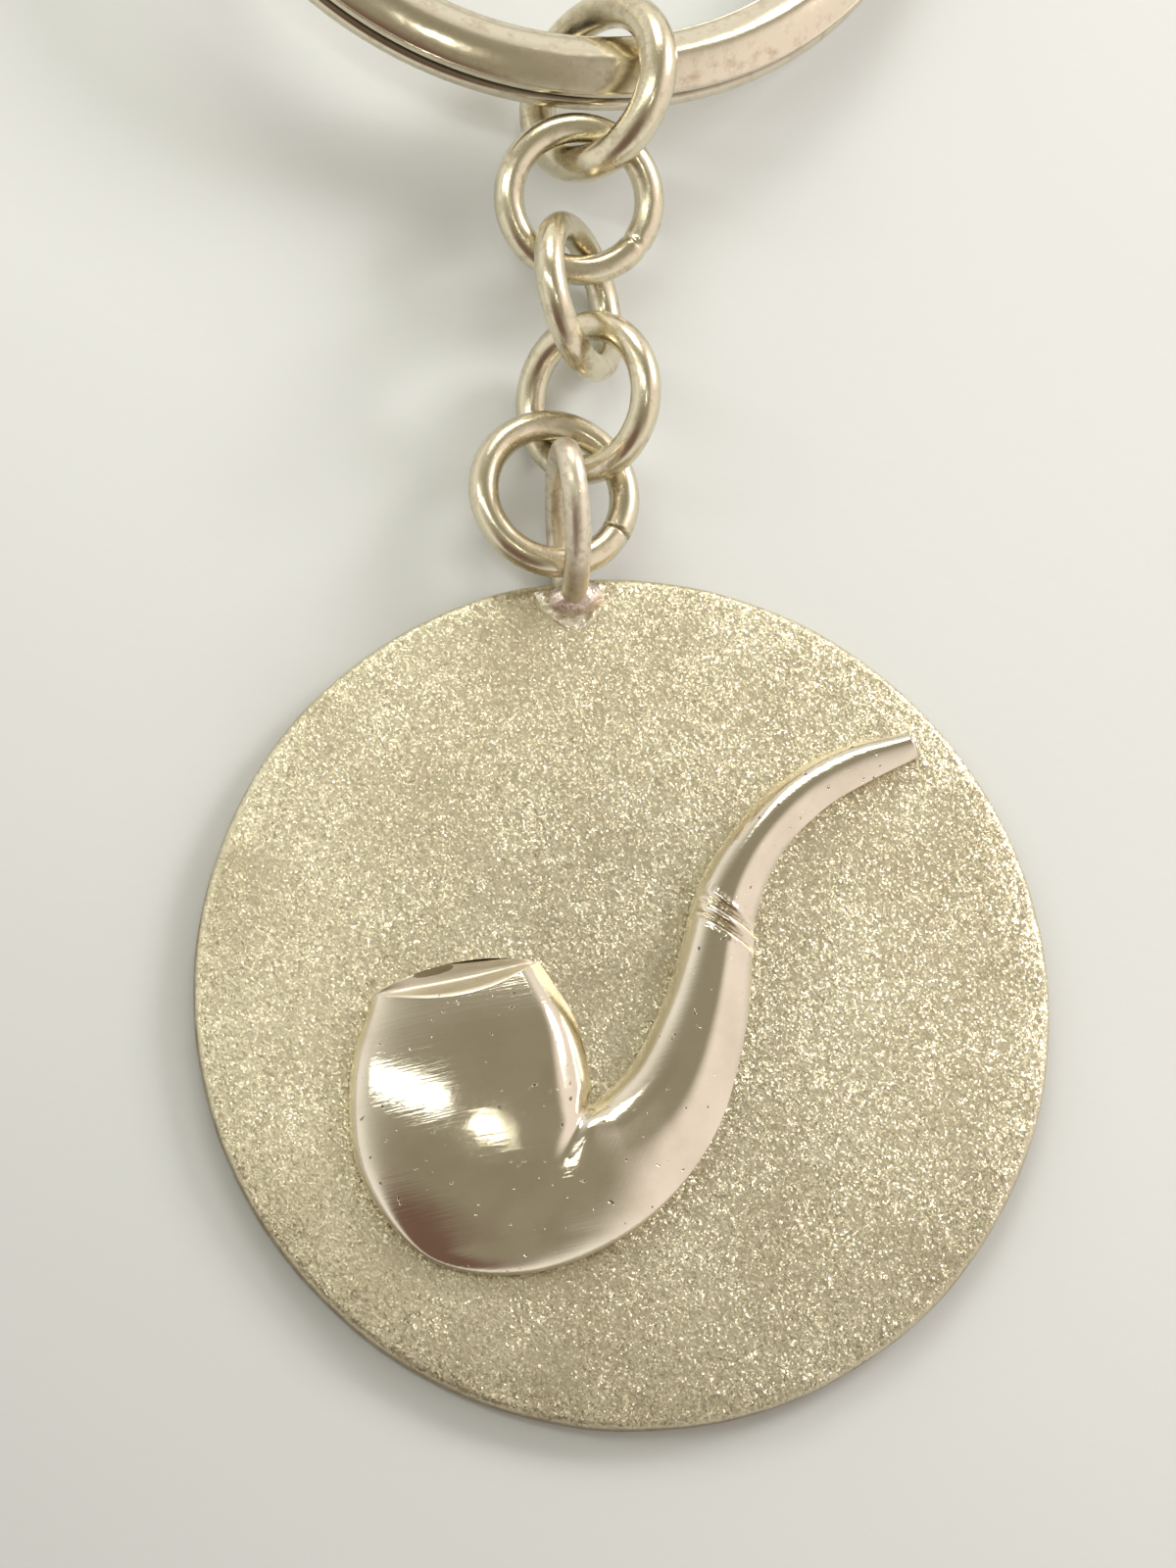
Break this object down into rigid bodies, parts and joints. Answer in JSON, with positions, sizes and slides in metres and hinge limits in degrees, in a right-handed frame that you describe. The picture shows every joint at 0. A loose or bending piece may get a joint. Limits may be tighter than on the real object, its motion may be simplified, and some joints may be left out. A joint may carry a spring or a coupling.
{
  "type": "keychain",
  "caption": "Souvenir keychain: thin blasted medallion with a raised polished tobacco pipe, soldered bail, chain of jump rings and a double-coil split ring.",
  "frame": {"origin": "centre of the medallion's flat back face, which lies on the table", "axes": "+Z out of the medallion's face, +Y from the medallion along the chain to the split ring, +X to the right"},
  "size_m": [0.0394, 0.0893, 0.0074],
  "materials": {
    "blasted_face": "sandblasted satin, pale warm silver with fine bright sparkle",
    "polished_relief": "polished, with hairline scratches and small casting pits",
    "bail_wire": "dull drawn wire, scratched and slightly oxidised by soldering",
    "solder": "soft uneven solder, satin",
    "ring_wire": "worn polished nickel silver wire",
    "split_wire": "polished flattened spring wire, worn along its edges"
  },
  "bodies": {
    "medallion": {"medallion_disc": "blasted_face", "pipe_relief": "polished_relief", "bail_ring": "bail_wire", "bail_solder": "solder"},
    "link_1": {"jump_ring_1": "ring_wire"},
    "link_2": {"jump_ring_2": "ring_wire"},
    "link_3": {"jump_ring_3": "ring_wire"},
    "link_4": {"jump_ring_4": "ring_wire"},
    "link_5": {"jump_ring_5": "ring_wire"},
    "key_ring": {"split_ring": "split_wire"}
  },
  "joints": [
    {"name": "bail_swing", "type": "hinge", "parent": "medallion", "child": "link_1", "pos_m": [-0.00005, 0.021, 0.00205], "axis": [0, 0.342, 0.9397], "range_deg": [-70, 12]},
    {"name": "ring_2_roll", "type": "hinge", "parent": "link_1", "child": "link_2", "pos_m": [0.00095, 0.02281, 0.00186], "axis": [0.1362, -0.9265, 0.3507], "range_deg": [-2, 36]},
    {"name": "ring_3_swing", "type": "hinge", "parent": "link_2", "child": "link_3", "pos_m": [0.00172, 0.02768, 0.00311], "axis": [-0.6775, 0.0884, -0.7302], "range_deg": [-75, 75]},
    {"name": "ring_4_swing", "type": "hinge", "parent": "link_3", "child": "link_4", "pos_m": [0.00199, 0.03199, 0.00301], "axis": [-0.5235, 0.0724, 0.849], "range_deg": [-10, 80]},
    {"name": "ring_5_swing", "type": "hinge", "parent": "link_4", "child": "link_5", "pos_m": [0.00326, 0.03614, 0.00384], "axis": [-0.9656, 0.247, 0.0808], "range_deg": [-40, 40]},
    {"name": "split_ring_flip", "type": "hinge", "parent": "link_5", "child": "key_ring", "pos_m": [0.00398, 0.03859, 0.00384], "axis": [0.9932, -0.0474, -0.1063], "range_deg": [-100, 100]}
  ]
}
